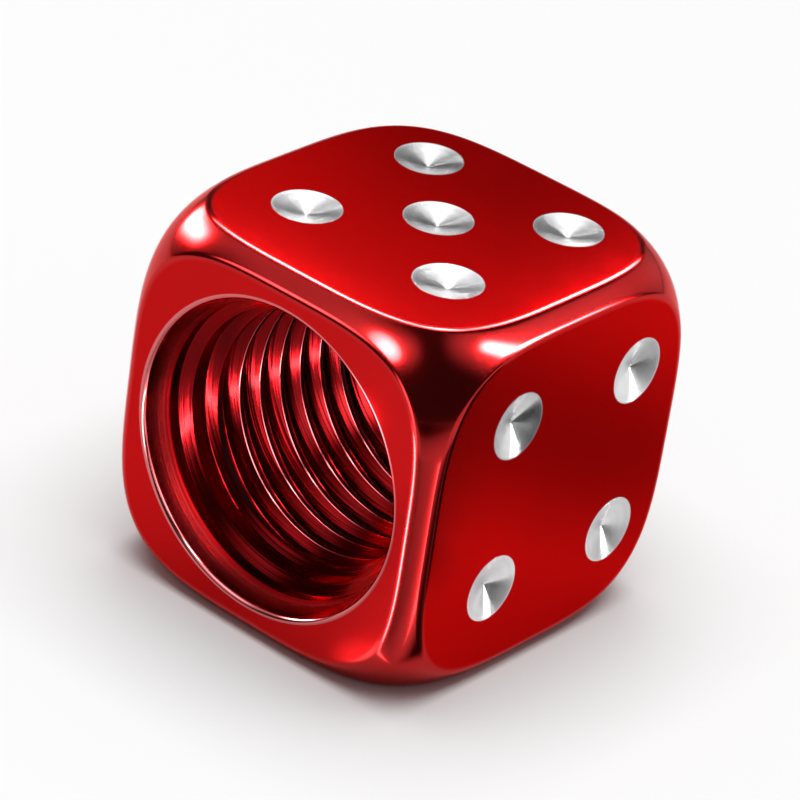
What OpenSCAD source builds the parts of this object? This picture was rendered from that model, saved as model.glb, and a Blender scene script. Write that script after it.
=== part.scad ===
// Tyre valve cap in the form of a die: one machined cube with a stepped,
// blind threaded hole in one face, shallow conical pips in the other five,
// and a rubber washer seated at the blind end of the hole.
// Origin: middle of the face the cap rests on. +Z is up.
// The hole's axis lies along Y and its mouth faces -Y.

/* [Cube] */
// Wall between the hole's mouth and the cube's sides
mouth_wall = 1; // [0.8:0.05:2]
// Wall behind the hole's blind end
end_wall = 1.35; // [1.2:0.05:2]
// How far the rims of the flats stand in from the cube's sides at mid edge
rim_in = 0.6; // [0.5:0.05:0.8]
// Squareness of the flats' outline: 2 is a circle, and more is squarer
squareness = 3.8; // [3:0.1:6]
// Radius that softens the rims of the flats
rim_r = 0.4; // [0.2:0.02:0.46]

/* [Pips] */
// Diameter of a pip
pip_d = 1.8; // [1.2:0.1:2.2]
// Depth of a pip's shallow cone
pip_depth = 0.25; // [0.1:0.05:0.35]
// Distance of the outer pips from the cube's sides
pip_inset = 2.85; // [2.6:0.05:3.4]
// How far the pips beside the hole stand back from the middle, away from the mouth
pip_setback = 0.45; // [0:0.05:0.6]

/* [Mouth] */
// Radial clearance of the mouth, inside its rounded lip, over the thread
mouth_clear = 0.325; // [0.25:0.025:0.4]
// Radius of the lip between the face and the mouth
lip_r = 0.15; // [0.05:0.05:0.2]
// Length of the smooth conical band behind the lip
band_len = 0.6; // [0.4:0.05:0.8]
// Length of the short cylinder between the conical band and the step
throat_len = 0.3; // [0.15:0.05:0.4]
// Length of the step's chamfer
step_len = 0.2; // [0.1:0.05:0.3]

/* [Thread] */
// Outer diameter of the internal thread
thread_d = 7.85; // [7.75:0.05:7.95]
// Pitch of the thread, 32 turns to the inch
thread_pitch = 0.794; // [0.75:0.01:0.85]
// Length of the smooth turned entry ahead of the thread
entry_len = 0.65; // [0.4:0.05:0.8]
// Radial clearance of the entry over the thread's crests
entry_clear = 0.2; // [0.18:0.02:0.3]
// Length of the relief groove behind the thread
relief_len = 1.3; // [1.1:0.05:1.4]
// Radial clearance of the relief groove over the thread's roots
relief_clear = 0.08; // [0.04:0.02:0.14]

/* [Seal washer] */
// Thickness of the washer
washer_t = 1; // [0.6:0.1:1]
// Diameter of the hole in the washer
washer_hole_d = 3.6; // [3:0.2:4.4]
// Radial clearance of the washer in the relief groove
washer_clear = 0.05; // [0.02:0.01:0.1]

/* [Hidden] */

// The cube is built round the mouth, and the mouth round the valve's thread
mouth_r = thread_d / 2 + mouth_clear;
half_w = mouth_r + mouth_wall;
// Half width of the core that the cube's softened rims stand on
core_half = half_w - rim_r;
// Half width of a flat between the middles of its rims
flat_half = half_w - rim_in;
// Half width of the superellipsoid that meets the core's flats at their rims
swell = pow(pow(core_half, squareness) + pow(flat_half, squareness), 1 / squareness);
// Facets of the superellipsoid, of the softened rims and of the round features
swell_sectors = 64;
swell_rings = 32;
rim_facets = 16;
bore_facets = 128;
pip_facets = 64;
lip_steps = 6;
// Cutters start this far outside the face they enter
over = 0.2;

// Radii of the hole. The crests stand in from the thread's outer diameter
// by five eighths of the height of a sixty degree thread
crest_depth = 5 / 8 * thread_pitch * sqrt(3) / 2;
crest_r = thread_d / 2 - crest_depth;
entry_r = crest_r + entry_clear;
relief_r = thread_d / 2 + relief_clear;
throat_r = relief_r;

// Depths below the mouth's face at which each stretch of the hole ends
lip_end = lip_r;
band_end = lip_end + band_len;
throat_end = band_end + throat_len;
step_end = throat_end + step_len;
entry_end = step_end + entry_len;
hole_depth = 2 * half_w - end_wall;
thread_end = hole_depth - relief_len;

// Outline of the hole as [radius, depth], from outside the face inwards
lip_curve = [
    for (i = [0 : lip_steps])
        let (turn = 90 * i / lip_steps)
        [mouth_r + lip_r * (1 - sin(turn)), lip_r * (1 - cos(turn))]
];
hole_outline = concat(
    [[0, -over], [mouth_r + lip_r, -over]],
    lip_curve,
    [
        [throat_r, band_end],
        [throat_r, throat_end],
        [entry_r, step_end],
        [entry_r, entry_end],
        [crest_r, entry_end],
        [crest_r, thread_end],
        [relief_r, thread_end],
        [relief_r, hole_depth],
        [0, hole_depth]
    ]
);

// Pip patterns as [across, up] in units of the outer pips' distance from the middle
pip_offset = half_w - pip_inset;
one_pip = [[0, 0]];
two_pips = [[-1, 1], [1, -1]];
three_pips = concat(one_pip, two_pips);
four_pips = [for (x = [-1, 1], y = [-1, 1]) [x, y]];
five_pips = concat(one_pip, four_pips);

// Cosine and sine raised to the power that makes a circle a superellipse
function bowed(value) = sign(value) * pow(abs(value), 2 / squareness);

// Point of the superellipsoid at a latitude and a longitude
function swell_point(lat, lon) = swell * [
    bowed(cos(lat)) * bowed(cos(lon)),
    bowed(cos(lat)) * bowed(sin(lon)),
    bowed(sin(lat))
];

// Superellipsoid in rings of points from pole to pole
module superellipsoid() {
    ring_lats = [for (i = [1 : swell_rings - 1]) 180 * i / swell_rings - 90];
    ring_points = [
        for (lat = ring_lats, j = [0 : swell_sectors - 1])
            swell_point(lat, 360 * j / swell_sectors)
    ];
    bands = [
        for (i = [0 : swell_rings - 3], j = [0 : swell_sectors - 1])
            let (next = (j + 1) % swell_sectors, low = i * swell_sectors, high = low + swell_sectors)
            [low + j, high + j, high + next, low + next]
    ];
    bottom_cap = [for (j = [0 : swell_sectors - 1]) j];
    top_cap = [for (j = [swell_sectors - 1 : -1 : 0]) (swell_rings - 2) * swell_sectors + j];
    polyhedron(ring_points, concat(bands, [bottom_cap, top_cap]), convexity = 2);
}

// Cube whose edges and corners are swollen round, with softened rims on its flats
module rounded_cube() {
    minkowski() {
        intersection() {
            cube(2 * core_half, center = true);
            superellipsoid();
        }
        sphere(rim_r / cos(180 / rim_facets), $fn = rim_facets);
    }
}

// Shallow cone with its rim on the plane z = 0 and its point below it
module pip() {
    cone_r = pip_d / 2;
    translate([0, 0, -pip_depth])
        cylinder(h = pip_depth + over, r1 = 0, r2 = cone_r * (1 + over / pip_depth), $fn = pip_facets);
}

// Pips of one face, cut into the cube's +Z flat
module face_pips(pattern) {
    for (place = pattern)
        translate([place[0] * pip_offset, place[1] * pip_offset, half_w]) pip();
}

// Pips of all five closed faces; opposite faces add up to seven,
// and the hole takes the place of the six
module all_pips() {
    translate([0, pip_setback, 0]) {
        face_pips(five_pips);
        rotate([180, 0, 0]) face_pips(two_pips);
        rotate([0, 90, 0]) face_pips(four_pips);
        rotate([0, -90, 0]) face_pips(three_pips);
    }
    rotate([-90, 0, 0]) face_pips(one_pip);
}

// Places its children at a depth in the hole, with +Z pointing inwards
module in_hole(depth) {
    translate([0, depth - half_w, 0]) rotate([-90, 0, 0]) children();
}

// The stepped blind hole, as the cutter that makes it
module hole() {
    in_hole(0) rotate_extrude($fn = bore_facets) polygon(hole_outline);
}

module cap_body() {
    color([0.78, 0.05, 0.06])
        translate([0, 0, half_w])
        difference() {
            rounded_cube();
            hole();
            all_pips();
        }
}

// Flat ring lying against the hole's blind end
module seal_washer() {
    color([0.07, 0.07, 0.07])
        translate([0, 0, half_w])
        in_hole(hole_depth - washer_t)
        difference() {
            cylinder(h = washer_t, r = relief_r - washer_clear, $fn = bore_facets);
            translate([0, 0, -over])
                cylinder(h = washer_t + 2 * over, d = washer_hole_d, $fn = bore_facets);
        }
}

cap_body();
seal_washer();
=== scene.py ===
"""Looks of a die-shaped tyre valve cap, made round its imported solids."""

import math

import bmesh
import bpy
import numpy as np
from mathutils import Matrix, Vector, kdtree


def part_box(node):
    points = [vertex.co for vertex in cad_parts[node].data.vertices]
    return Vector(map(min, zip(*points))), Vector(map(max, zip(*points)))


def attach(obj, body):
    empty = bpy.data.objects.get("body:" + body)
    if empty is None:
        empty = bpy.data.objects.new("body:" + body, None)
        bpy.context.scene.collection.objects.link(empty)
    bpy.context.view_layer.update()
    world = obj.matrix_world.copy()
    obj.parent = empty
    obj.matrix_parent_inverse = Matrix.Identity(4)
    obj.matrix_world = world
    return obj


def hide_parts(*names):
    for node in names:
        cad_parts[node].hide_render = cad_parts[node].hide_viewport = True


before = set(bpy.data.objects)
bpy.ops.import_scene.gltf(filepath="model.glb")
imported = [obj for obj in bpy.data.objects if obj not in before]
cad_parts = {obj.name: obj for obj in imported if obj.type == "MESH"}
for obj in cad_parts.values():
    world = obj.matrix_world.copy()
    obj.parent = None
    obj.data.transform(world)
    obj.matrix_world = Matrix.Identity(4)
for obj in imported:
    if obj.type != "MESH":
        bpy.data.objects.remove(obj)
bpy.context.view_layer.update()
BODY_LOW, BODY_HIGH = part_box("cap_body")
WASHER_LOW, WASHER_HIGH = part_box("seal_washer")
MM = 0.001

bl_info = {
    "name": "Die Valve Cap",
    "version": (1, 0, 0),
    "blender": (4, 5, 0),
    "location": "3D View > Sidebar > Valve Cap",
    "description": "Builds an anodised die-shaped tyre valve cap with a threaded hole",
    "category": "Add Mesh",
}

# Pips of each closed face, as steps across and up from its middle
FACE_PIPS = {
    (0, 0, 1): ((0, 0), (-1, -1), (-1, 1), (1, -1), (1, 1)),
    (0, 0, -1): ((-1, 1), (1, -1)),
    (1, 0, 0): ((-1, -1), (-1, 1), (1, -1), (1, 1)),
    (-1, 0, 0): ((0, 0), (-1, 1), (1, -1)),
    (0, 1, 0): ((0, 0),),
}

# Facets round the hole and its thread, round a pip and round the washer
BORE_COLUMNS, PIP_COLUMNS, WASHER_COLUMNS = 192, 64, 128
# Facets of a small rounding
ARC_STEPS = 5
# Edges sharper than this many degrees stay sharp
BODY_SHARP, WASHER_SHARP = 24.0, 35.0

# The dye keeps the metal's reflection red where it is seen at a slant
EDGE_TINT = (1.0, 0.12, 0.12, 1.0)
# The polished lip and crests are painted paler than the dye, a painted highlight for their thin light lines
CREST_HIGHLIGHT_COLOUR = (0.6, 0.13, 0.135)
COAT_IOR = 1.5

# The photograph's view: where it looks, which way is up, how far it stands off and its lens
VIEW_FORWARD = (-0.5255, 0.6975, -0.4872)
VIEW_UP = (-0.4104, 0.2938, 0.8633)
VIEW_DISTANCE = 0.1145
VIEW_LENS = 197.0
# Watts for each square metre of a lamp and each step of its level
LAMP_WATTS = 4.0


def length(name, description, value_mm):
    """A length that a user may change, with its default in millimetres."""
    return bpy.props.FloatProperty(
        name=name, description=description, default=value_mm * MM,
        min=0.0, unit="LENGTH", subtype="DISTANCE", precision=5,
    )


def colour(name, description, value):
    """A colour that a user may change."""
    return bpy.props.FloatVectorProperty(
        name=name, description=description, default=value,
        size=3, min=0.0, max=1.0, subtype="COLOR",
    )


class ValveCapSizes(bpy.types.PropertyGroup):
    """Sizes of the cap's body, hole, thread and washer"""

    width: length("Width", "Width of the cube over its flats", (BODY_HIGH.x - BODY_LOW.x) / MM)
    rim_in: length("Rim Inset", "How far the rims of the flats stand in from the sides", 0.6)
    squareness: bpy.props.FloatProperty(
        name="Squareness", description="Squareness of the flats' outline, where 2 is a circle",
        default=3.8, min=2.0, max=10.0,
    )
    rim_radius: length("Rim Radius", "Radius that softens the rims of the flats", 0.4)
    pip_radius: length("Pip Radius", "Radius of a pip", 0.9)
    pip_depth: length("Pip Depth", "Depth of a pip's shallow cone", 0.25)
    pip_step: length("Pip Step", "Distance of the outer pips from a face's middle lines", 2.4)
    pip_setback: length("Pip Setback", "How far the pips beside the hole stand back from the middle", 0.45)
    mouth_radius: length("Mouth Radius", "Radius of the mouth inside its lip", 4.25)
    lip_radius: length("Lip Radius", "Radius of the lip between the face and the mouth", 0.15)
    band_length: length("Band Length", "Length of the conical band behind the lip", 0.6)
    throat_radius: length("Throat Radius", "Radius of the throat and of the relief groove", 4.005)
    throat_length: length("Throat Length", "Length of the throat behind the conical band", 0.3)
    step_length: length("Step Length", "Length of the step's chamfer", 0.2)
    entry_radius: length("Entry Radius", "Radius of the smooth entry ahead of the thread", 3.695)
    entry_length: length("Entry Length", "Length of the smooth entry", 0.65)
    crest_radius: length("Crest Radius", "Radius of the thread's crests", 3.495)
    root_radius: length("Root Radius", "Radius of the thread's roots", 3.925)
    thread_pitch: length("Thread Pitch", "Distance between neighbouring turns", 0.794)
    relief_length: length("Relief Length", "Length of the groove behind the thread", 1.3)
    washer_round: length("Washer Rounding", "Radius of the washer's softened edges", 0.12)
    washer_hole_radius: length("Washer Hole Radius", "Radius of the hole in the washer", 1.8)


class ValveCapFinishes(bpy.types.PropertyGroup):
    """Colours of the cap and of its stage"""

    anodised: colour("Anodised Red", "Colour of the anodised metal", (0.49, 0.008, 0.009))
    # The hole's red is a darker copy of the outside red, as painted shade in the hole
    anodised_bore: colour("Hole Red", "Colour of the anodised metal in the hole", (0.4, 0.006, 0.009))
    bare_metal: colour("Bare Metal", "Colour of the bare metal in the pips", (0.8, 0.8, 0.81))
    rubber: colour("Seal Rubber", "Colour of the seal washer", (0.03, 0.03, 0.03))
    floor: colour("Floor", "Colour of the floor", (0.86, 0.86, 0.86))


# Mesh building, in millimetres


def evenly_turned(squareness, per_quarter):
    """Angles that space points evenly along a superellipse, alike in each eighth of it."""
    fine = np.linspace(0.0, math.pi / 4, 2001)
    reach = (np.cos(fine) ** squareness + np.sin(fine) ** squareness) ** (-1.0 / squareness)
    steps = np.hypot(np.diff(reach * np.cos(fine)), np.diff(reach * np.sin(fine)))
    along = np.concatenate([[0.0], np.cumsum(steps)])
    eighth = np.interp(np.linspace(0.0, along[-1], per_quarter // 2 + 1), along, fine)
    quarter = np.concatenate([eighth, (math.pi / 2 - eighth[::-1])[1:]])
    return np.concatenate([quarter[:-1] + k * math.pi / 2 for k in range(4)])


def face_strip(sizes, turns, rim_steps, swell_steps):
    """Rings from a flat's outline out to the ridges shared with the next faces, with their normals."""
    power = sizes["squareness"]
    core = sizes["half"] - sizes["rim_radius"]
    flat = sizes["half"] - sizes["rim_in"]
    swell = (core ** power + flat ** power) ** (1.0 / power)
    across, up = np.abs(np.cos(turns)) ** power, np.abs(np.sin(turns)) ** power
    shares = np.stack([across, up], 1) / (across + up)[:, None]
    signs = np.stack([np.sign(np.round(np.cos(turns), 12)), np.sign(np.round(np.sin(turns), 12))], 1)

    def on_swell(level):
        parts = np.concatenate([(1.0 - level)[:, None] * shares, level[:, None]], 1)
        points = swell * parts ** (1.0 / power)
        points[:, :2] *= signs
        normals = np.sign(points) * np.abs(points) ** (power - 1.0)
        return points, normals / np.linalg.norm(normals, axis=1)[:, None]

    level = (core / swell) ** power
    ridge = shares.max(1) / (1.0 + shares.max(1))
    rim_points, rim_normals = on_swell(np.full(len(turns), level))
    sweep = np.arccos(np.clip(rim_normals[:, 2], -1.0, 1.0))
    side = rim_normals[:, :2] / np.linalg.norm(rim_normals[:, :2], axis=1)[:, None]
    rings, ring_normals = [], []
    for k in range(rim_steps + 1):
        turn = sweep * k / rim_steps
        normals = np.concatenate([side * np.sin(turn)[:, None], np.cos(turn)[:, None]], 1)
        rings.append(rim_points + sizes["rim_radius"] * normals)
        ring_normals.append(normals)
    for k in range(1, swell_steps + 1):
        points, normals = on_swell(level + (ridge - level) * k / swell_steps)
        rings.append(points + sizes["rim_radius"] * normals)
        ring_normals.append(normals)
    return np.array(rings), np.array(ring_normals)


def skin_mesh(sizes, per_quarter=48, rim_steps=6, swell_steps=10):
    """The closed outer skin of the cube, with its exact normals at each vertex."""
    turns = evenly_turned(sizes["squareness"], per_quarter)
    rings, normals = face_strip(sizes, turns, rim_steps, swell_steps)
    count = len(turns)
    frames = []
    for axis in range(3):
        for sign in (1.0, -1.0):
            out, side = np.zeros(3), np.zeros(3)
            out[axis], side[(axis + 1) % 3] = sign, 1.0
            frames.append(np.array([side, np.cross(out, side), out]))
    all_points, all_normals, faces = [], [], []
    for basis in frames:
        start = sum(len(points) for points in all_points)
        all_points.append(rings.reshape(-1, 3) @ basis)
        all_normals.append(normals.reshape(-1, 3) @ basis)
        faces.append([start + i for i in range(count)])
        for k in range(len(rings) - 1):
            low, high = start + k * count, start + (k + 1) * count
            for i in range(count):
                after = (i + 1) % count
                faces.append([low + i, high + i, high + after, low + after])
    mesh = bpy.data.meshes.new("cap_skin")
    points = np.concatenate(all_points)
    mesh.from_pydata(points.tolist(), [], faces)
    weld(mesh)
    return mesh, points, np.concatenate(all_normals)


def open_edges(shape):
    """How many edges don't join exactly two faces."""
    return sum(1 for edge in shape.edges if not edge.is_manifold)


def weld(mesh, distance=1e-4):
    """Joins the parts of a shell, which have to close it."""
    shape = bmesh.new()
    shape.from_mesh(mesh)
    bmesh.ops.remove_doubles(shape, verts=shape.verts, dist=distance)
    left_open = open_edges(shape)
    shape.to_mesh(mesh)
    shape.free()
    if left_open:
        raise RuntimeError(f"{mesh.name} has {left_open} open edges")


def check_closed(mesh):
    """Stops the script if a mesh is open or inside out."""
    shape = bmesh.new()
    shape.from_mesh(mesh)
    left_open = open_edges(shape)
    volume = shape.calc_volume(signed=True)
    shape.free()
    if left_open or volume <= 0.0:
        raise RuntimeError(f"{mesh.name}: {left_open} open edges, volume {volume:.3f}")


def turned_mesh(name, outline, columns):
    """Solid of revolution about Z from (radius, height) points, walked with the solid on the left."""
    points, rows = [], []
    for radius, height in outline:
        if radius < 1e-9:
            rows.append([len(points)] * columns)
            points.append((0.0, 0.0, height))
            continue
        rows.append(list(range(len(points), len(points) + columns)))
        for i in range(columns):
            turn = 2.0 * math.pi * i / columns
            points.append((radius * math.cos(turn), radius * math.sin(turn), height))
    closed = outline[0][0] > 1e-9
    faces = []
    for k in range(len(rows) if closed else len(rows) - 1):
        low, high = rows[k], rows[(k + 1) % len(rows)]
        for i in range(columns):
            after = (i + 1) % columns
            corners = [low[i], low[after], high[after], high[i]]
            faces.append(list(dict.fromkeys(corners)))
    mesh = bpy.data.meshes.new(name)
    mesh.from_pydata(points, [], faces)
    mesh.validate()
    return mesh


def curve_points(centre, radius, start, end, steps=ARC_STEPS):
    """Points of an arc as (radius, height), from one angle to another in degrees."""
    turns = [math.radians(start + (end - start) * k / steps) for k in range(steps + 1)]
    return [(centre[0] + radius * math.cos(t), centre[1] + radius * math.sin(t)) for t in turns]


def bore_outline(sizes):
    """Outline of the hole's cutter as (radius, depth), from the axis at the mouth in to the blind end."""
    mouth, lip, throat = sizes["mouth_radius"], sizes["lip_radius"], sizes["throat_radius"]
    band = lip + sizes["band_length"]
    step = band + sizes["throat_length"]
    entry_wall, entry = sizes["entry_radius"], sizes["entry_depth"]
    crest_wall, crest = sizes["crest_radius"], entry + sizes["entry_length"]
    relief, end = sizes["relief_depth"], sizes["hole_depth"]
    over, lip_steps = 0.4, 10
    # How much the turned edges are eased, and how long the thread's ramps are
    band_ease, band_lift, step_ease = 0.05, 0.015, 0.02
    corner, corner_cut, ramp_in, ramp_out = 0.12, 0.035, 0.12, 0.2
    outline = [(0.0, -over), (mouth + lip, -over)]
    outline += curve_points((mouth + lip, lip), lip, 270.0, 180.0, lip_steps)
    outline += [
        (throat + band_lift, band - band_ease), (throat, band),
        (throat, step), (throat - step_ease, step + 0.01),
        (entry_wall + step_ease, entry - 0.012), (entry_wall, entry),
        (entry_wall, crest - ramp_in), (crest_wall, crest),
        (crest_wall, relief - ramp_out), (throat, relief + 0.05),
        (throat, end - corner), (throat - corner_cut, end - corner_cut), (throat - corner, end),
        (0.0, end),
    ]
    return outline


def tooth_outline(sizes):
    """Outline of the thread's sixty degree groove as (inwards, along), rounded at its root and crests."""
    depth = sizes["root_radius"] - sizes["crest_radius"]
    crest, root, inner, half_share = 0.045, 0.06, 0.18, 0.42
    lean = math.tan(math.radians(30.0))
    half = sizes["thread_pitch"] * half_share
    base = half - depth * lean
    top = half + crest * lean
    side = curve_points((-crest, top), crest, 0.0, -60.0)
    side += curve_points((root - depth, base - root * lean), root, 120.0, 180.0)
    other = [(inwards, -along) for inwards, along in reversed(side)]
    return [(inner, top)] + side + other + [(inner, -top)]


def pip_outline(sizes):
    """Outline of a pip's cutter as (radius, height), from its point up and out through a broken edge."""
    radius, depth = sizes["pip_radius"], sizes["pip_depth"]
    over, edge, slope = 0.3, 0.03, depth / radius
    start = radius - edge
    blunt_point = [(0.0, -depth), (0.04, -depth + 0.004)]
    cone = [(reach, -depth + reach * slope) for reach in (0.1, start * 0.5, start)]
    return blunt_point + cone + [(radius + edge, 0.0), (radius + edge, over), (0.0, over)]


def washer_outline(sizes):
    """Outline of the washer as (radius, depth), with softened edges."""
    soft = sizes["washer_round"]
    inner, outer = sizes["washer_hole_radius"] + soft, sizes["washer_radius"] - soft
    low, high = sizes["washer_low"] + soft, sizes["washer_high"] - soft
    outline = []
    for centre, start in (
        ((outer, low), -90.0), ((outer, high), 0.0), ((inner, high), 90.0), ((inner, low), 180.0),
    ):
        outline += curve_points(centre, soft, start, start + 90.0)
    return outline


def into_cap(mesh, half):
    """Turns a mesh made along the hole's axis, in millimetres from the mouth, into the cap's frame."""
    mesh.transform(Matrix.Translation((0.0, -half, 0.0)) @ Matrix.Rotation(-math.pi / 2, 4, "X"))


def into_metres(mesh, half):
    """Brings a mesh from millimetres about the cube's middle to metres above the flat it rests on."""
    mesh.transform(Matrix.Translation((0.0, 0.0, half * MM)) @ Matrix.Scale(MM, 4))


def add_object(name, data):
    item = bpy.data.objects.new(name, data)
    bpy.context.scene.collection.objects.link(item)
    return item


def settle(item, change):
    """Keeps what a modifier makes as the object's plain mesh."""
    bpy.context.view_layer.update()
    ready = item.evaluated_get(bpy.context.evaluated_depsgraph_get())
    mesh = bpy.data.meshes.new_from_object(ready)
    item.modifiers.remove(change)
    item.data = mesh


def cut(item, tool, operation):
    """Cuts or joins an object with a closed tool, which is used up."""
    change = item.modifiers.new("Cut", "BOOLEAN")
    change.object = tool
    change.operation = operation
    change.solver = "MANIFOLD"
    change.material_mode = "TRANSFER"
    settle(item, change)
    bpy.data.objects.remove(tool)


def grow(item, tree, values):
    """Runs a node tree on an object, with its inputs set by socket identifier."""
    change = item.modifiers.new(tree.name, "NODES")
    change.node_group = tree
    for socket in tree.interface.items_tree:
        if socket.item_type == "SOCKET" and socket.in_out == "INPUT" and socket.name in values:
            change[socket.identifier] = values[socket.name]
    settle(item, change)


# Node trees


def add_tree(name, kind, inputs, outputs):
    """An empty node group with named sockets, and the outputs of its input node."""
    tree = bpy.data.node_groups.new(name, kind)
    for label, socket, value in inputs:
        made = tree.interface.new_socket(name=label, in_out="INPUT", socket_type="NodeSocket" + socket)
        if value is not None:
            made.default_value = value
    for label, socket in outputs:
        tree.interface.new_socket(name=label, in_out="OUTPUT", socket_type="NodeSocket" + socket)
    return tree, put(tree, "NodeGroupInput").outputs


def put(tree, kind, inputs=None, **settings):
    """Adds a node with its settings, and feeds its inputs by name or number."""
    node = tree.nodes.new(kind)
    for key, value in settings.items():
        setattr(node, key, value)
    for key, value in (inputs or {}).items():
        feed(tree, node.inputs[key], value)
    return node


def feed(tree, socket, value):
    """Links a node's output into a socket, or sets the socket's own value."""
    if isinstance(value, bpy.types.NodeSocket):
        tree.links.new(value, socket)
    else:
        socket.default_value = value


def maths(tree, operation, *values, clamp=False):
    node = put(tree, "ShaderNodeMath", dict(enumerate(values)), operation=operation, use_clamp=clamp)
    return node.outputs[0]


def mapped(tree, value, start, end, low, high, **settings):
    """Maps a value from one range to another."""
    inputs = dict(enumerate((value, start, end, low, high)))
    return put(tree, "ShaderNodeMapRange", inputs, **settings).outputs[0]


def mixed(tree, amount, first, second):
    return put(tree, "ShaderNodeMix", {0: amount, 2: first, 3: second}, data_type="FLOAT").outputs[0]


def thread_tree():
    """Sweeps a sixty degree tooth along a helix, to cut an internal thread with."""
    tree, ends = add_tree("Internal Thread Cutter", "GeometryNodeTree", (
        ("Turns", "Float", 8.0), ("Columns per Turn", "Int", BORE_COLUMNS), ("Pitch", "Float", 0.794),
        ("Crest Radius", "Float", 3.495), ("Root Radius", "Float", 3.925), ("Lead In Turns", "Float", 0.5),
        ("Tooth", "Object", None), ("Material", "Material", None),
    ), (("Geometry", "Geometry"),))
    helix = put(tree, "GeometryNodeCurveSpiral", {
        "Resolution": ends["Columns per Turn"], "Rotations": ends["Turns"],
        "Start Radius": ends["Crest Radius"], "End Radius": ends["Crest Radius"],
        "Height": maths(tree, "MULTIPLY", ends["Turns"], ends["Pitch"]), "Reverse": True,
    })
    factor = put(tree, "GeometryNodeSplineParameter").outputs["Factor"]
    turns_in = maths(tree, "MULTIPLY", factor, ends["Turns"])
    rise = maths(tree, "DIVIDE", turns_in, ends["Lead In Turns"], clamp=True)
    depth = maths(tree, "SUBTRACT", ends["Root Radius"], ends["Crest Radius"])
    shift = maths(tree, "MULTIPLY", depth, maths(tree, "SUBTRACT", rise, 1.0))
    place = put(tree, "GeometryNodeInputPosition").outputs[0]
    flat = put(tree, "ShaderNodeVectorMath", {0: place, 1: (1.0, 1.0, 0.0)}, operation="MULTIPLY")
    outwards = put(tree, "ShaderNodeVectorMath", {0: flat.outputs[0]}, operation="NORMALIZE")
    move = put(tree, "ShaderNodeVectorMath", {0: outwards.outputs[0], "Scale": shift}, operation="SCALE")
    placed = put(tree, "GeometryNodeSetPosition", {
        "Geometry": helix.outputs["Curve"], "Offset": move.outputs[0],
    })
    upright = put(tree, "GeometryNodeSetCurveNormal", {"Curve": placed.outputs["Geometry"]}, mode="Z_UP")
    tooth = put(tree, "GeometryNodeObjectInfo", {"Object": ends["Tooth"]})
    outline = put(tree, "GeometryNodeMeshToCurve", {"Mesh": tooth.outputs["Geometry"]})
    sweep = put(tree, "GeometryNodeCurveToMesh", {
        "Curve": upright.outputs["Curve"], "Profile Curve": outline.outputs["Curve"], "Fill Caps": True,
    })
    return finish_tree(tree, sweep.outputs["Mesh"], ends["Material"])


def pip_tree():
    """Places a pip's cutter on every point of the faces' patterns."""
    tree, ends = add_tree("Pips on the Faces", "GeometryNodeTree", (
        ("Geometry", "Geometry", None), ("Pip", "Object", None), ("Pip Scale", "Float", 1.0),
        ("Material", "Material", None),
    ), (("Geometry", "Geometry"),))
    pip = put(tree, "GeometryNodeObjectInfo", {"Object": ends["Pip"]})
    facing = put(tree, "GeometryNodeInputNamedAttribute", {"Name": "facing"}, data_type="FLOAT_VECTOR")
    turn = put(tree, "FunctionNodeAlignRotationToVector", {"Vector": facing.outputs["Attribute"]}, axis="Z")
    spread = put(tree, "GeometryNodeInstanceOnPoints", {
        "Points": ends["Geometry"], "Instance": pip.outputs["Geometry"],
        "Rotation": turn.outputs["Rotation"], "Scale": ends["Pip Scale"],
    })
    return finish_tree(tree, spread.outputs["Instances"], ends["Material"])


def finish_tree(tree, geometry, material):
    """Ends a tree with real geometry in one material."""
    realised = put(tree, "GeometryNodeRealizeInstances", {"Geometry": geometry}).outputs["Geometry"]
    painted = put(tree, "GeometryNodeSetMaterial", {"Geometry": realised, "Material": material})
    put(tree, "NodeGroupOutput", {"Geometry": painted.outputs["Geometry"]})
    return tree


# Finishes


def satin_grain_group():
    """Fine grain of a blasted and dyed surface, with the slow drift of its tone."""
    tree, given = add_tree("Satin Grain", "ShaderNodeTree", (
        ("Position", "Vector", None), ("Grain Size", "Float", 0.06 * MM), ("Drift Size", "Float", 4.0 * MM),
    ), (("Height", "Float"), ("Drift", "Float"), ("Cloud", "Float")))
    result = {}
    for label, size, fineness, detail in (
        ("Height", "Grain Size", 1.0, 3.0), ("Drift", "Drift Size", 1.0, 2.0),
        ("Cloud", "Drift Size", 8.0, 4.0),
    ):
        scale = maths(tree, "DIVIDE", fineness, given[size])
        noise = {"Vector": given["Position"], "Scale": scale, "Detail": detail}
        result[label] = put(tree, "ShaderNodeTexNoise", noise).outputs[0]
    put(tree, "NodeGroupOutput", result)
    return tree


def turning_marks_group():
    """Fine rings that a lathe tool leaves, across a distance along or out from the turning axis."""
    tree, given = add_tree("Turning Marks", "ShaderNodeTree", (
        ("Distance", "Float", 0.0), ("Spacing", "Float", 0.05 * MM),
    ), (("Height", "Float"), ("Tone", "Float")))
    across = maths(tree, "DIVIDE", given["Distance"], given["Spacing"])
    result = {}
    for label, fineness, detail in (("Height", 1.0, 2.0), ("Tone", 0.21, 1.0)):
        rings = {"W": maths(tree, "MULTIPLY", across, fineness), "Scale": 1.0, "Detail": detail}
        result[label] = put(tree, "ShaderNodeTexNoise", rings, noise_dimensions="1D").outputs[0]
    put(tree, "NodeGroupOutput", result)
    return tree


def shared_groups():
    """The node groups that several finishes share, made once."""
    grain = bpy.data.node_groups.get("Satin Grain") or satin_grain_group()
    marks = bpy.data.node_groups.get("Turning Marks") or turning_marks_group()
    return grain, marks


def shade(value, factor):
    return tuple(min(1.0, part * factor) for part in value)


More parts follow.
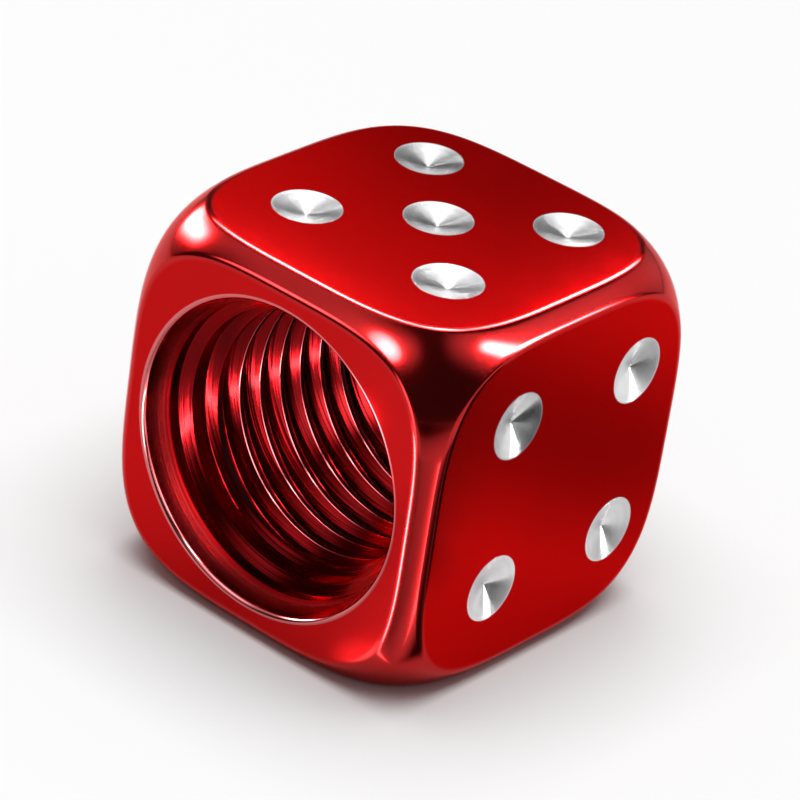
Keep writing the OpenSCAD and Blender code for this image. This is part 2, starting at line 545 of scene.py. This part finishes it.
class Finish:
    """A material with its Principled shader and short words for its other nodes."""

    def __init__(self, name, base, metallic, constants):
        self.material = bpy.data.materials.new(name)
        self.material.use_nodes = True
        self.material.diffuse_color = (*base, 1.0)
        self.tree = self.material.node_tree
        self.tree.nodes.clear()
        own_values = {"Base Color": (*base, 1.0), "Metallic": metallic, **constants}
        self.shader = put(self.tree, "ShaderNodeBsdfPrincipled", own_values)
        put(self.tree, "ShaderNodeOutputMaterial", {"Surface": self.shader.outputs[0]})
        self.position = put(self.tree, "ShaderNodeTexCoord").outputs["Object"]

    def grain(self, group, grain_size, drift_size):
        """The shared grain, with its sizes in millimetres."""
        inputs = {"Position": self.position, "Grain Size": grain_size * MM, "Drift Size": drift_size * MM}
        return put(self.tree, "ShaderNodeGroup", inputs, node_tree=group)

    def rings(self, group, distance, spacing):
        """The shared turning marks, with their spacing in millimetres."""
        inputs = {"Distance": distance, "Spacing": spacing * MM}
        return put(self.tree, "ShaderNodeGroup", inputs, node_tree=group)

    def attribute(self, name, output="Fac"):
        node = put(self.tree, "ShaderNodeAttribute", attribute_type="GEOMETRY", attribute_name=name)
        return node.outputs[output]

    def spread(self, noise, low, high):
        """Maps a noise's middle range onto a range of values."""
        return mapped(self.tree, noise, 0.3, 0.7, low, high)

    def blend(self, amount, first, second):
        return mixed(self.tree, amount, first, second)

    def tint(self, amount, first, second):
        """Blends two colours, each a plain one or a node's."""
        first, second = (
            item if isinstance(item, bpy.types.NodeSocket) else (*item, 1.0) for item in (first, second)
        )
        return put(self.tree, "ShaderNodeMix", {0: amount, 6: first, 7: second}, data_type="RGBA").outputs[2]

    def drift(self, noise, base, dark, light):
        """A colour that drifts between a darker and a lighter shade of itself."""
        return self.tint(self.spread(noise, 0.0, 1.0), shade(base, dark), shade(base, light))

    def use(self, label, value):
        feed(self.tree, self.shader.inputs[label], value)

    def bump(self, height, strength, distance):
        """Bumps the surface, by a distance in millimetres."""
        inputs = {"Height": height, "Strength": strength, "Distance": distance * MM}
        self.use("Normal", put(self.tree, "ShaderNodeBump", inputs).outputs[0])


def anodised_skin_finish(colours, grain):
    """Red anodised aluminium: satin on the flats and polished on the rims, edges and corners."""
    base = tuple(colours.anodised)
    finish = Finish("red_anodised", base, 1.0, {
        "Coat Roughness": 0.06, "Coat IOR": COAT_IOR, "Specular Tint": EDGE_TINT,
    })
    dye = finish.grain(grain, 0.05, 6.0).outputs
    polish = finish.attribute("polish")
    satin = finish.spread(dye["Cloud"], 0.2, 0.235)
    bright = finish.spread(dye["Drift"], 0.13, 0.16)
    finish.use("Base Color", finish.drift(dye["Drift"], base, 0.94, 1.05))
    finish.use("Roughness", finish.blend(polish, satin, bright))
    finish.use("Coat Weight", finish.blend(polish, 0.03, 0.32))
    finish.bump(dye["Height"], finish.blend(polish, 0.12, 0.01), 0.004)
    return finish.material


def anodised_bore_finish(colours, grain, marks, sizes):
    """The same dye over the turned metal in the hole: satin on the band behind the lip, bright beyond. Past
    the band its colour is darkened as painted shade, the band is lifted as painted light, and the lip and
    crests are paler as painted highlight.
    """
    base = tuple(colours.anodised_bore)
    finish = Finish("red_anodised_bore", base, 1.0, {
        "Coat Roughness": 0.08, "Coat IOR": COAT_IOR, "Specular Tint": EDGE_TINT,
    })
    dye = finish.grain(grain, 0.04, 5.0).outputs
    along_hole = put(finish.tree, "ShaderNodeSeparateXYZ", {0: finish.position}).outputs["Y"]
    rings = finish.rings(marks, along_hole, 0.06).outputs
    polish = finish.attribute("polish")
    band_end = (sizes["lip_radius"] + sizes["band_length"] - sizes["half"]) * MM
    blur = 0.05 * MM
    band = mapped(finish.tree, along_hole, band_end - blur, band_end + blur, 1.0, 0.0)
    # Painted shade: past the band the red drops to a third to two thirds of itself deep in the hole; painted
    # light: the band keeps 1.3 times the red
    deep_painted_shade = finish.drift(rings["Tone"], base, 0.34, 0.66)
    deep_painted_shade = finish.tint(band, deep_painted_shade, shade(base, 1.3))
    # The lip and crests take the paler colour as a painted highlight
    finish.use("Base Color", finish.tint(polish, deep_painted_shade, CREST_HIGHLIGHT_COLOUR))
    turned = finish.blend(band, finish.spread(dye["Cloud"], 0.13, 0.17), 0.34)
    finish.use("Roughness", finish.blend(polish, turned, 0.11))
    finish.use("Coat Weight", finish.blend(polish, 0.06, 0.5))
    finish.bump(rings["Height"], finish.blend(polish, 0.7, 0.03), 0.012)
    return finish.material


def bare_metal_finish(colours, grain, marks):
    """Bare aluminium of the pips, cut after the dyeing, with the drill's rings round each point."""
    base = tuple(colours.bare_metal)
    finish = Finish("bare_aluminium", base, 1.0, {"Anisotropic": 0.85})
    dye = finish.grain(grain, 0.04, 3.0).outputs
    rings = finish.rings(marks, finish.attribute("turn_radius"), 0.03).outputs
    finish.use("Base Color", finish.drift(rings["Tone"], base, 0.93, 1.04))
    finish.use("Roughness", finish.spread(dye["Cloud"], 0.2, 0.26))
    finish.use("Tangent", finish.attribute("turning", "Vector"))
    finish.bump(rings["Height"], 0.3, 0.005)
    return finish.material


def rubber_finish(colours, grain):
    """Matte black rubber with a faint moulded grain."""
    base = tuple(colours.rubber)
    finish = Finish("seal_rubber", base, 0.0, {})
    skin = finish.grain(grain, 0.1, 3.0).outputs
    finish.use("Base Color", finish.drift(skin["Drift"], base, 0.8, 1.3))
    finish.use("Roughness", finish.spread(skin["Cloud"], 0.62, 0.76))
    finish.bump(skin["Height"], 0.5, 0.01)
    return finish.material


def floor_finish(colours, grain):
    """Pale matte board."""
    base = tuple(colours.floor)
    finish = Finish("pale_board", base, 0.0, {"Specular IOR Level": 0.0})
    board = finish.grain(grain, 0.6, 80.0).outputs
    finish.use("Base Color", finish.drift(board["Drift"], base, 0.99, 1.01))
    finish.use("Roughness", finish.spread(board["Cloud"], 0.75, 0.85))
    return finish.material


# The cap's body


def sizes_in_mm(sizes):
    """The sizes as plain numbers in millimetres, with the depths that follow from them and the solids."""
    values = {}
    for key in ValveCapSizes.__annotations__:
        values[key] = getattr(sizes, key)
        if key != "squareness":
            values[key] /= MM
    values["half"] = values["width"] / 2
    mouth = BODY_LOW.y / MM
    values["washer_low"] = WASHER_LOW.y / MM - mouth
    values["washer_high"] = WASHER_HIGH.y / MM - mouth
    values["washer_radius"] = (WASHER_HIGH.x - WASHER_LOW.x) / 2 / MM
    before_entry = ("lip_radius", "band_length", "throat_length", "step_length")
    values["entry_depth"] = sum(values[key] for key in before_entry)
    values["hole_depth"] = values["washer_high"]
    values["relief_depth"] = values["hole_depth"] - values["relief_length"]
    return values


def pip_places(sizes):
    """Middle and facing of every pip, in millimetres from the cube's middle."""
    places = []
    for facing, pattern in FACE_PIPS.items():
        out = Vector(facing)
        across = Vector((0, 1, 0)) if facing[0] else Vector((1, 0, 0))
        up = out.cross(across)
        back = Vector((0, 0 if facing[1] else sizes["pip_setback"], 0))
        for steps in pattern:
            aside = (across * steps[0] + up * steps[1]) * sizes["pip_step"]
            places.append((out * sizes["half"] + aside + back, out))
    return places


def bore_cutter(sizes, material):
    """The stepped hole's cutter with its helical thread."""
    mesh = turned_mesh("hole_cutter", bore_outline(sizes), BORE_COLUMNS)
    mesh.materials.append(material)
    hole = add_object("hole_cutter", mesh)
    outline = tooth_outline(sizes)
    tooth_mesh = bpy.data.meshes.new("thread_tooth")
    edges = [(i, (i + 1) % len(outline)) for i in range(len(outline))]
    tooth_mesh.from_pydata([(-inwards, along, 0.0) for inwards, along in reversed(outline)], edges, [])
    tooth = add_object("thread_tooth", tooth_mesh)
    into_entry, into_relief, lead_in = 0.12, 0.45, 0.7
    start = sizes["entry_depth"] + into_entry
    end = sizes["relief_depth"] + into_relief
    thread = add_object("thread_cutter", bpy.data.meshes.new("thread_cutter"))
    grow(thread, thread_tree(), {
        "Turns": (end - start) / sizes["thread_pitch"], "Columns per Turn": BORE_COLUMNS,
        "Pitch": sizes["thread_pitch"], "Crest Radius": sizes["crest_radius"],
        "Root Radius": sizes["root_radius"], "Lead In Turns": lead_in, "Tooth": tooth, "Material": material,
    })
    thread.data.transform(Matrix.Translation((0.0, 0.0, start)))
    bpy.data.objects.remove(tooth)
    cut(hole, thread, "UNION")
    into_cap(hole.data, sizes["half"])
    return hole


def pip_cutters(sizes, material):
    """All the pips' cutters, placed by their node tree."""
    places = pip_places(sizes)
    points = bpy.data.meshes.new("pip_places")
    points.from_pydata([place for place, _ in places], [], [])
    facing = points.attributes.new("facing", "FLOAT_VECTOR", "POINT")
    facing.data.foreach_set("vector", [part for _, out in places for part in out])
    pattern = add_object("pip_places", points)
    pip = add_object("pip_cutter", turned_mesh("pip_cutter", pip_outline(sizes), PIP_COLUMNS))
    grow(pattern, pip_tree(), {"Pip": pip, "Pip Scale": 1.0, "Material": material})
    bpy.data.objects.remove(pip)
    return pattern


def set_surface_data(mesh, sizes, skin_points, skin_normals, bore_index, pip_index):
    """Exact normals on the skin, and the attributes that the finishes read."""
    lip_share, into_thread, crest_slack = 1.5, 0.6, 0.03
    lip_end = sizes["lip_radius"] * lip_share - sizes["half"]
    crests_start = sizes["entry_depth"] + into_thread - sizes["half"]
    crest_reach = sizes["crest_radius"] + crest_slack
    # How square to its axis a face is when it is a flat, and where the polish is full
    flat_limit, polish_share = 0.99999, 0.02
    mesh.set_sharp_from_angle(angle=math.radians(BODY_SHARP))
    corners = len(mesh.loops)
    normals = np.zeros(corners * 3)
    mesh.corner_normals.foreach_get("vector", normals)
    normals = normals.reshape(-1, 3)
    nearest = kdtree.KDTree(len(skin_points))
    for i, point in enumerate(skin_points):
        nearest.insert(point, i)
    nearest.balance()
    pips = pip_places(sizes)
    polish, radius, turning = np.zeros(corners), np.zeros(corners), np.zeros((corners, 3))
    for face in mesh.polygons:
        out = np.array(face.normal)
        in_bore = face.material_index == bore_index
        around = [mesh.vertices[i].co for i in face.vertices]
        crest = in_bore and all(math.hypot(point.x, point.z) < crest_reach for point in around)
        for corner in face.loop_indices:
            point = mesh.vertices[mesh.loops[corner].vertex_index].co
            if face.material_index == pip_index:
                middle, facing = min(pips, key=lambda pip: (pip[0] - point).length_squared)
                arm = point - middle
                arm -= facing * arm.dot(facing)
                radius[corner] = arm.length * MM
                turning[corner] = arm.normalized() if arm.length > 1e-6 else facing.orthogonal()
            elif in_bore:
                polish[corner] = point.y < lip_end or (crest and point.y > crests_start)
            elif np.abs(out).max() > flat_limit:
                normals[corner] = np.round(out)
            else:
                normals[corner] = skin_normals[nearest.find(point)[1]]
                polish[corner] = min(1.0, (1.0 - np.abs(normals[corner]).max()) / polish_share)
    mesh.normals_split_custom_set(normals.tolist())
    for name, kind, key, values in (
        ("polish", "FLOAT", "value", polish), ("turn_radius", "FLOAT", "value", radius),
        ("turning", "FLOAT_VECTOR", "vector", turning.ravel()),
    ):
        mesh.attributes.new(name, kind, "CORNER").data.foreach_set(key, values)


def build_body(context):
    """The body: its skin, cut by the threaded hole and the pips."""
    sizes = sizes_in_mm(context.scene.valve_cap_sizes)
    colours = context.scene.valve_cap_finishes
    grain, marks = shared_groups()
    skin = anodised_skin_finish(colours, grain)
    bore = anodised_bore_finish(colours, grain, marks, sizes)
    bare = bare_metal_finish(colours, grain, marks)
    mesh, skin_points, skin_normals = skin_mesh(sizes)
    mesh.materials.append(skin)
    body = add_object("cap_body_visual", mesh)
    cut(body, bore_cutter(sizes, bore), "DIFFERENCE")
    cut(body, pip_cutters(sizes, bare), "DIFFERENCE")
    mesh = body.data
    mesh.name = "cap_body_visual"
    check_closed(mesh)
    slots = [material.name for material in mesh.materials]
    set_surface_data(mesh, sizes, skin_points, skin_normals, slots.index(bore.name), slots.index(bare.name))
    into_metres(mesh, sizes["half"])
    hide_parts("cap_body")
    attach(body, "root")


def build_washer(context):
    """The seal washer, lying on the hole's blind end."""
    sizes = sizes_in_mm(context.scene.valve_cap_sizes)
    grain, _ = shared_groups()
    mesh = turned_mesh("seal_washer_visual", washer_outline(sizes), WASHER_COLUMNS)
    mesh.materials.append(rubber_finish(context.scene.valve_cap_finishes, grain))
    check_closed(mesh)
    into_cap(mesh, sizes["half"])
    into_metres(mesh, sizes["half"])
    mesh.set_sharp_from_angle(angle=math.radians(WASHER_SHARP))
    for face in mesh.polygons:
        face.use_smooth = True
    washer = add_object("seal_washer_visual", mesh)
    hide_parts("seal_washer")
    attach(washer, "root")


# The stage


def softbox(name, aim, direction, distance, size, level):
    """An area light that faces a point, with the level that its surface shows, and that no gloss reflects."""
    lamp = bpy.data.lights.new(name, "AREA")
    lamp.shape = "RECTANGLE"
    lamp.size, lamp.size_y = size
    lamp.energy = LAMP_WATTS * size[0] * size[1] * level
    item = add_object(name, lamp)
    out = Vector(direction).normalized()
    item.location = aim + out * distance
    item.rotation_euler = (-out).to_track_quat("-Z", "Y").to_euler()
    item.visible_glossy = False


def first_gloss(tree, rays):
    """One for rays that have left no matte surface, so that no gleam of the studio falls on the floor."""
    return maths(tree, "SUBTRACT", 1.0, rays.outputs["Diffuse Depth"], clamp=True)


def card(name, points, faces, glow, level, density=1.0):
    """A card in millimetres that only gloss shows, solid where its points glow and clear where they don't."""
    finish = bpy.data.materials.new(name)
    finish.use_nodes = True
    tree = finish.node_tree
    tree.nodes.clear()
    gloss = first_gloss(tree, put(tree, "ShaderNodeLightPath"))
    shine = put(tree, "ShaderNodeEmission", {"Strength": maths(tree, "MULTIPLY", gloss, level)})
    shown = put(tree, "ShaderNodeAttribute", attribute_type="GEOMETRY", attribute_name="glow").outputs["Fac"]
    clear = put(tree, "ShaderNodeBsdfTransparent")
    blend = put(tree, "ShaderNodeMixShader", {
        0: maths(tree, "MULTIPLY", shown, density), 1: clear.outputs[0], 2: shine.outputs[0],
    })
    put(tree, "ShaderNodeOutputMaterial", {"Surface": blend.outputs[0]})
    mesh = bpy.data.meshes.new(name)
    mesh.from_pydata([tuple(part * MM for part in point) for point in points], [], faces)
    mesh.attributes.new("glow", "FLOAT", "POINT").data.foreach_set("value", glow)
    mesh.materials.append(finish)
    item = add_object(name, mesh)
    item.visible_camera = item.visible_diffuse = item.visible_shadow = item.visible_transmission = False


def soft_wedge(name, foot, direction, half_angle, reaches, height, level, density):
    """A card on the floor that widens away from a point, to draw one soft line along an upright edge.

    Its reaches are where it starts, where it is full and where it ends.
    """
    heading = math.atan2(direction[1], direction[0])
    start, full, end = reaches

    def place(turn, reach):
        angle = heading + math.radians(turn)
        return (foot[0] + reach * math.cos(angle), foot[1] + reach * math.sin(angle), height)

    points = [
        place(0.0, start), place(0.0, full), place(half_angle, full), place(-half_angle, full),
        place(0.0, end), place(half_angle, end), place(-half_angle, end),
    ]
    faces = [(0, 1, 2), (0, 3, 1), (1, 4, 5, 2), (1, 3, 6, 4)]
    card(name, points, faces, (0.0, 1.0, 0.0, 0.0, 1.0, 0.0, 0.0), level, density)


def soft_patch(name, centre, right, up, core, level, density):
    """An oval card that fades from its core, a share of its reach, to its rim."""
    count, least_core = 32, 0.02
    centre, right, up = Vector(centre), Vector(right), Vector(up)
    points, glow = [tuple(centre)], [1.0] * (count + 1) + [0.0] * count
    for reach in (max(core, least_core), 1.0):
        for k in range(count):
            turn = 2.0 * math.pi * k / count
            points.append(tuple(centre + (right * math.cos(turn) + up * math.sin(turn)) * reach))
    faces = [(0, 1 + k, 1 + (k + 1) % count) for k in range(count)]
    for k in range(count):
        after = (k + 1) % count
        faces.append((1 + k, 1 + count + k, 1 + count + after, 1 + after))
    card(name, points, faces, glow, level, density)


def build_cards():
    """Cards that draw the light and dark lines of the polished edges, the lip, the pips and the thread."""
    edge_foot = (4.9, -4.9)
    for name, direction, half_angle, reaches, height, level, density in (
        ("strip_left", (-0.11, -0.87), 7.5, (0.0, 5.0, 21.0), 0.03, 44.0, 1.0),
        ("strip_right", (0.778, -0.397), 2.4, (0.8, 4.0, 21.0), 0.03, 9.0, 1.0),
        ("flag_middle", (0.47, -0.88), 30.0, (0.0, 2.0, 22.0), 0.02, 0.01, 0.65),
        ("flag_right", (0.988, 0.156), 29.0, (0.0, 1.0, 22.0), 0.03, 0.01, 1.0),
        ("flag_corner", (0.66, -0.70), 38.0, (8.0, 60.0, 600.0), 0.01, 0.02, 1.0),
    ):
        soft_wedge(name, edge_foot, direction, half_angle, reaches, height, level, density)
    for name, centre, right, up, core, level, density in (
        ("strip_foot", (3.3, -6.9, 0.03), (1.6, 0.4, 0.0), (0.2, -1.1, 0.0), 0.0, 4.5, 1.0),
        ("strip_corner", (2.1, -12.8, 17.6), (-2.6, 2.0, 0.3), (1.1, 1.0, 1.9), 0.1, 66.0, 1.0),
        ("strip_edge", (-5.3, -12.7, 13.8), (6.5, 0.0, 0.0), (0.0, 0.7, 1.5), 0.0, 12.0, 1.0),
        ("strip_thread", (0.7, -6.0, 5.8), (2.1, 0.0, 2.1), (-0.9, 0.0, 0.9), 0.4, 11.0, 1.0),
        ("strip_hole", (4.6, -12.0, 7.6), (1.6, -0.5, -3.6), (0.9, 0.1, 0.4), 0.5, 5.0, 1.0),
        ("shade_hole", (-1.2, -10.5, 0.02), (2.8, 0.0, 0.0), (0.0, 5.5, 0.0), 0.3, 0.02, 0.45),
        ("strip_rim_left", (-1.8, -3.26, 13.4), (5.8, 0.1, 0.1), (0.0, 0.75, -0.35), 0.4, 60.0, 1.0),
        ("strip_rim_front", (3.1, -2.4, 13.8), (0.9, 0.9, 0.0), (0.5, -0.5, 0.2), 0.3, 60.0, 1.0),
        ("strip_rim_right", (3.9, 3.0, 13.1), (0.1, 5.8, -0.2), (0.75, 0.0, 0.25), 0.4, 60.0, 1.0),
        ("shade_top", (-5.0, 7.0, 11.5), (11.0, 0.0, 0.0), (0.0, 0.0, 5.8), 0.3, 0.02, 0.5),
        ("shade_right", (12.2, 10.0, 0.04), (6.5, 4.2, 0.0), (-4.5, 6.0, 0.0), 0.3, 0.02, 0.6),
    ):
        soft_patch(name, centre, right, up, core, level, density)
    points = (
        (9.5, -1.5, 0.02), (22.0, 2.0, 0.02), (50.0, 14.0, 0.02), (50.0, 32.0, 0.02),
        (20.0, 14.0, 0.02), (16.6, 10.2, 0.02), (9.5, 1.2, 0.02),
    )
    card("flag_pips", points, [tuple(range(len(points)))], [1.0] * len(points), level=0.02)


def build_world():
    """White to the camera, even and dim to matte surfaces, and a patterned studio to the first gloss."""
    world = bpy.data.worlds.new("studio")
    bpy.context.scene.world = world
    world.use_nodes = True
    tree = world.node_tree
    tree.nodes.clear()
    direction = put(tree, "ShaderNodeTexCoord").outputs["Generated"]
    camera_level, matte_level, least_gloss = 1.0, 0.24, 0.05

    def part(axis):
        """How far the direction goes along an axis."""
        node = put(tree, "ShaderNodeVectorMath", {0: direction, 1: tuple(axis)}, operation="DOT_PRODUCT")
        return node.outputs["Value"]

    def fade(value, start, end, low, high):
        return mapped(tree, value, start, end, low, high, interpolation_type="SMOOTHSTEP")

    def along(start, end, width, level, falloff):
        """A soft strip of light from one direction to another, with its width to each side in degrees."""
        start, end = Vector(start).normalized(), Vector(end).normalized()
        middle, pole = (start + end).normalized(), start.cross(end).normalized()
        reach = math.acos(max(-1.0, min(1.0, start.dot(end)))) / 2
        slack = math.radians(width)
        outer, inner = math.cos(reach + slack), math.cos(max(0.0, reach - slack / 2))
        lengthwise = fade(part(middle), outer, inner, 0.0, 1.0)
        aside = maths(tree, "ABSOLUTE", part(pole))
        share = maths(tree, "MULTIPLY", lengthwise, fade(aside, 0.0, math.sin(slack), 1.0, 0.0))
        return maths(tree, "MULTIPLY", maths(tree, "POWER", share, falloff), level)

    # A panel behind the cap, which fades sideways and is brightest at the horizon and high up
    height = part((0.0, 0.0, 1.0))
    aside = maths(tree, "ABSOLUTE", part((0.8, 0.6, 0.0)))
    behind = fade(part((-0.6, 0.8, 0.0)), 0.1, 0.4, 0.0, 1.0)
    panel = maths(tree, "MULTIPLY", fade(aside, 0.03, 0.34, 1.45, 0.0), behind)
    rise = maths(tree, "ADD", fade(height, 0.25, 0.75, 0.15, 1.3), fade(height, 0.1, 0.25, 1.5, 0.0))
    studio = maths(tree, "ADD", maths(tree, "MULTIPLY", panel, rise), least_gloss)
    for start, end, width, level, falloff in (
        ((-0.15, -0.70, 0.69), (-0.20, -0.72, 0.66), 32.0, 1.3, 1.0),
        ((0.62, 0.30, 0.72), (0.72, 0.70, 0.10), 8.0, 100.0, 1.4),
        ((0.57, 0.20, 0.78), (0.70, 0.50, 0.50), 30.0, 1.1, 1.0),
        ((0.47, 0.70, 0.50), (0.00, 1.00, 0.10), 26.0, 0.9, 1.0),
        ((-0.90, -0.14, 0.38), (-0.96, 0.20, 0.18), 14.0, 80.0, 2.2),
        ((-0.85, -0.10, 0.50), (-0.95, 0.15, 0.15), 32.0, 0.8, 1.0),
        ((-0.50, -0.40, 0.75), (-0.45, -0.10, 0.90), 24.0, 0.7, 1.0),
    ):
        studio = maths(tree, "ADD", studio, along(start, end, width, level, falloff))
    rays = put(tree, "ShaderNodeLightPath")
    gloss = maths(tree, "MULTIPLY", rays.outputs["Is Glossy Ray"], first_gloss(tree, rays))
    lit = mixed(tree, gloss, matte_level, studio)
    background = put(tree, "ShaderNodeBackground", {
        "Color": (1.0, 1.0, 1.0, 1.0),
        "Strength": mixed(tree, rays.outputs["Is Camera Ray"], lit, camera_level),
    })
    put(tree, "ShaderNodeOutputWorld", {"Surface": background.outputs[0]})


def build_camera(middle):
    """The camera at the photograph's viewing angle."""
    lens = bpy.data.cameras.new("photo_camera")
    lens.lens = VIEW_LENS
    lens.sensor_width = 36.0
    lens.clip_start = 0.001
    lens.clip_end = 50.0
    camera = add_object("photo_camera", lens)
    forward = Vector(VIEW_FORWARD).normalized()
    right = forward.cross(Vector(VIEW_UP)).normalized()
    up = right.cross(forward)
    turn = Matrix((right, up, -forward)).transposed().to_4x4()
    camera.matrix_world = Matrix.Translation(middle - forward * VIEW_DISTANCE) @ turn
    bpy.context.scene.camera = camera


def build_floor(context):
    """A pale board just under the flat that the cap rests on."""
    grain, _ = shared_groups()
    reach, gap = 1.5, 0.01 * MM
    corners = [(-reach, -reach, -gap), (reach, -reach, -gap), (reach, reach, -gap), (-reach, reach, -gap)]
    mesh = bpy.data.meshes.new("floor")
    mesh.from_pydata(corners, [], [(0, 1, 2, 3)])
    mesh.materials.append(floor_finish(context.scene.valve_cap_finishes, grain))
    floor = add_object("floor", mesh)


def build_stage(context):
    """The floor, the lamp, the cards, the world and the camera."""
    middle = Vector((0.0, 0.0, (BODY_LOW.z + BODY_HIGH.z) / 2))
    build_floor(context)
    softbox("fill_top", middle, direction=(0.03, 0.0, 1.0), distance=0.40, size=(0.40, 0.40), level=3.05)
    build_cards()
    build_world()
    build_camera(middle)
    context.scene.view_settings.view_transform = "Standard"


# Operators, panel and registration


class VALVECAP_OT_body(bpy.types.Operator):
    """Build the die-shaped body with its threaded hole and pips"""

    bl_idname = "valve_cap.body"
    bl_label = "Cap Body"

    def execute(self, context):
        build_body(context)
        return {"FINISHED"}


class VALVECAP_OT_washer(bpy.types.Operator):
    """Build the rubber washer at the blind end of the hole"""

    bl_idname = "valve_cap.washer"
    bl_label = "Seal Washer"

    def execute(self, context):
        build_washer(context)
        return {"FINISHED"}


class VALVECAP_OT_stage(bpy.types.Operator):
    """Build the floor, the lights, the world and the camera"""

    bl_idname = "valve_cap.stage"
    bl_label = "Stage"

    def execute(self, context):
        build_stage(context)
        return {"FINISHED"}


OPERATORS = (VALVECAP_OT_body, VALVECAP_OT_washer, VALVECAP_OT_stage)


class VALVECAP_PT_panel(bpy.types.Panel):
    """Sizes, colours and build steps of the valve cap"""

    bl_idname = "VALVECAP_PT_panel"
    bl_label = "Valve Cap"
    bl_space_type = "VIEW_3D"
    bl_region_type = "UI"
    bl_category = "Valve Cap"

    def draw(self, context):
        for operator in OPERATORS:
            self.layout.operator(operator.bl_idname)
        for settings in (context.scene.valve_cap_sizes, context.scene.valve_cap_finishes):
            box = self.layout.box()
            for key in type(settings).__annotations__:
                box.prop(settings, key)


CLASSES = (ValveCapSizes, ValveCapFinishes) + OPERATORS + (VALVECAP_PT_panel,)


def register():
    for item in CLASSES:
        bpy.utils.register_class(item)
    bpy.types.Scene.valve_cap_sizes = bpy.props.PointerProperty(type=ValveCapSizes)
    bpy.types.Scene.valve_cap_finishes = bpy.props.PointerProperty(type=ValveCapFinishes)


def unregister():
    del bpy.types.Scene.valve_cap_finishes
    del bpy.types.Scene.valve_cap_sizes
    for item in reversed(CLASSES):
        bpy.utils.unregister_class(item)


def main():
    register()
    bpy.ops.valve_cap.body()
    bpy.ops.valve_cap.washer()
    bpy.ops.valve_cap.stage()


if __name__ == "__main__":
    main()
